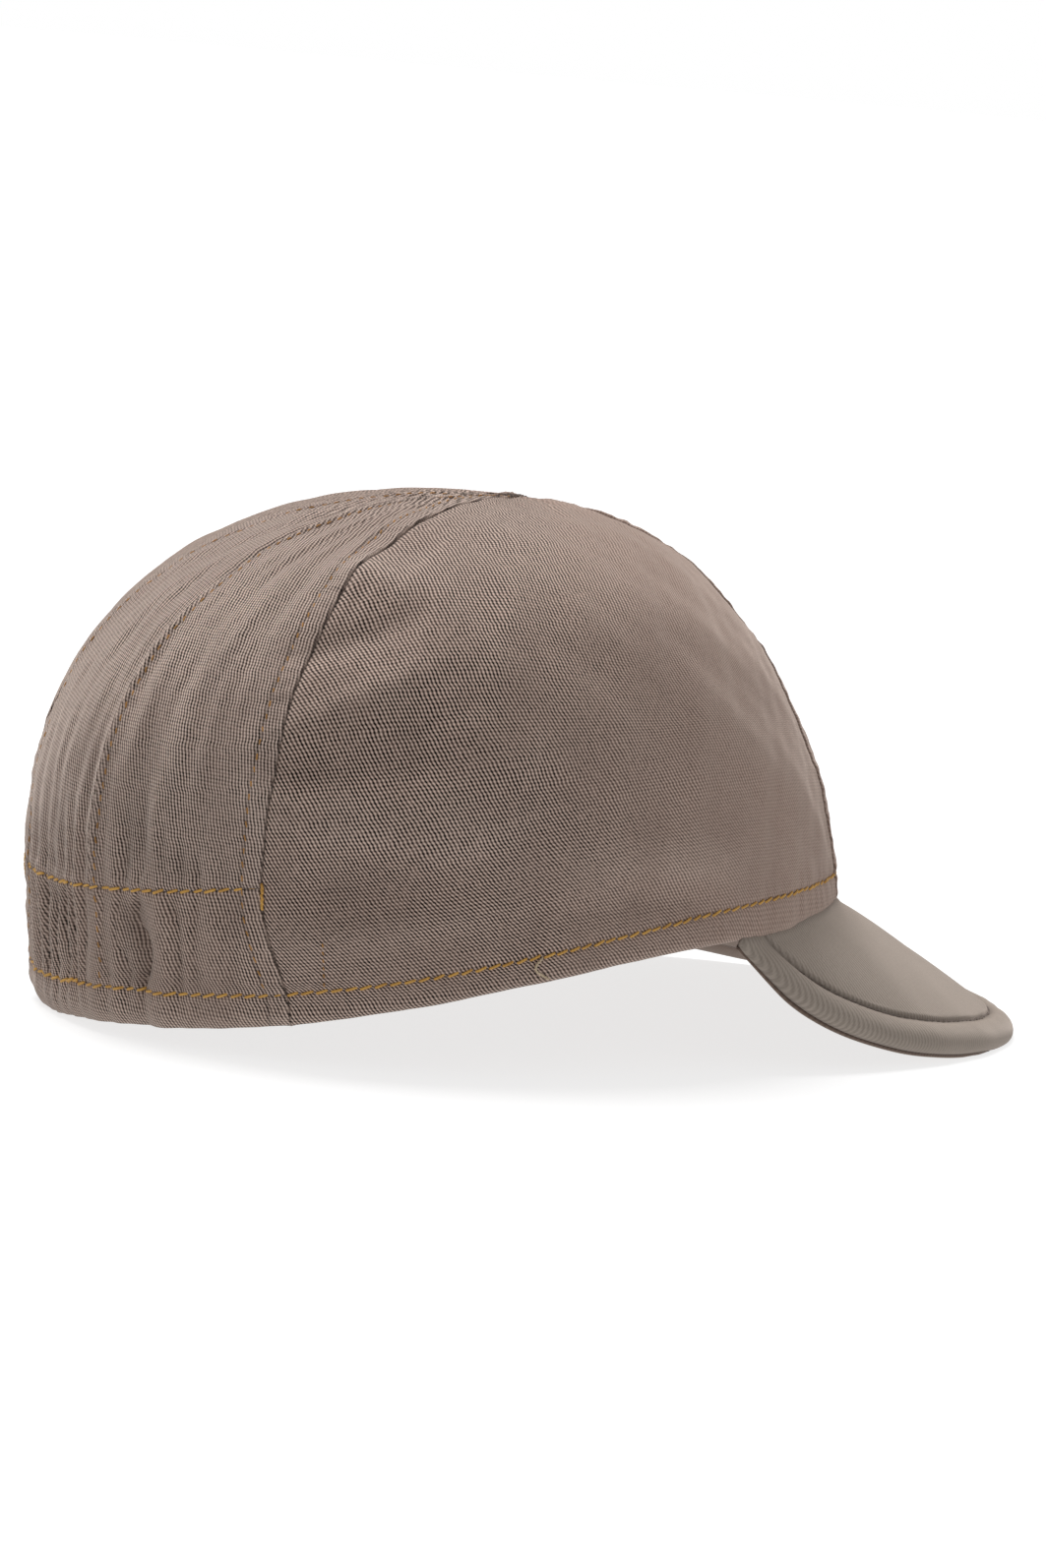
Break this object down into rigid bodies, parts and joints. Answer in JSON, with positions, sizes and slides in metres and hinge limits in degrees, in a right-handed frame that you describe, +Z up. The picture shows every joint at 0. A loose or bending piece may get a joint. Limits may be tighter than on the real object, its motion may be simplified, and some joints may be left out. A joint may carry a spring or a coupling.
{
  "type": "soft cap",
  "caption": "Unstructured cotton twill cap with a short arched peak, panelled crown and gathered elastic back band.",
  "frame": {"origin": "on the table under the middle of the cap's bounding box", "axes": "+Z up, the peak points along -Y, the wearer's right is -X; the cap rests on the back of its rim and the edge of its peak"},
  "size_m": [0.1678, 0.2592, 0.1159],
  "materials": {
    "crown_cloth": "matt brown-taupe cotton twill",
    "band_cloth": "the same twill, gathered",
    "peak_cloth": "the same twill, smooth and a little greyer",
    "peak_under_cloth": "the same twill, matt"
  },
  "bodies": {
    "root": {"front_panel": "crown_cloth", "side_panel_right": "crown_cloth", "side_panel_left": "crown_cloth", "back_panel_right": "crown_cloth", "back_panel_left": "crown_cloth", "back_band": "band_cloth", "peak_top": "peak_cloth", "peak_under": "peak_under_cloth"}
  },
  "joints": []
}
